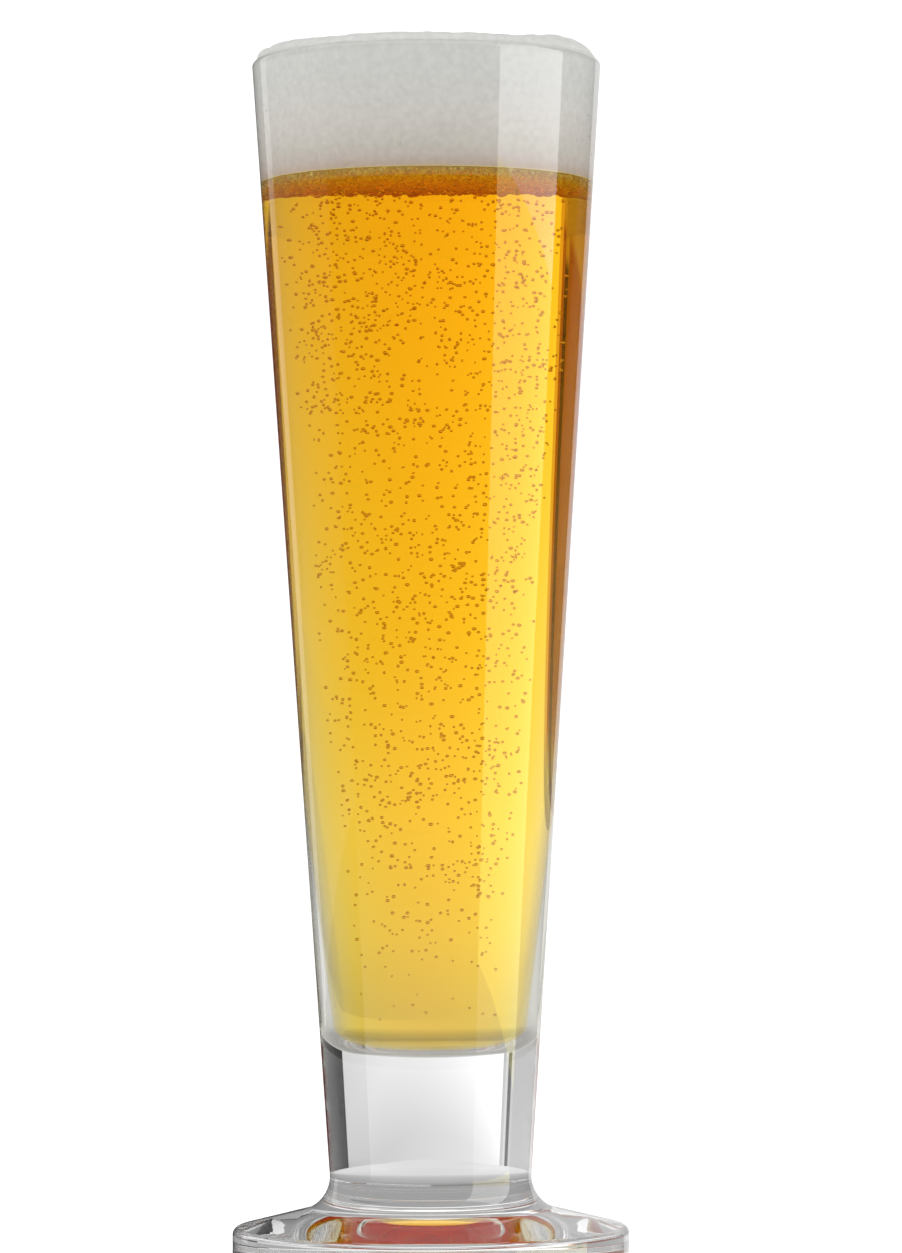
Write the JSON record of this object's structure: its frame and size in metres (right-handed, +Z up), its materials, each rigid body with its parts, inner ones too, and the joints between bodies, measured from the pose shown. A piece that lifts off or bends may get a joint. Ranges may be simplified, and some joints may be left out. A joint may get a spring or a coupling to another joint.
{
  "type": "pint of beer",
  "caption": "Tall footed pilsner glass of golden lager with a white head of foam swelling just over its rim.",
  "frame": {"origin": "on the glass's axis, in the plane that its foot stands on", "axes": "+Z up along the glass's axis; +X and +Y lie in the plane that the foot stands on"},
  "size_m": [0.0876, 0.0876, 0.2698],
  "materials": {
    "clear_glass": "polished clear soda-lime glass",
    "lager": "clear golden liquid with fine gas bubbles",
    "beer_foam": "fine white foam"
  },
  "bodies": {
    "root": {"glass": "clear_glass", "beer": "lager", "foam": "beer_foam"}
  },
  "joints": []
}
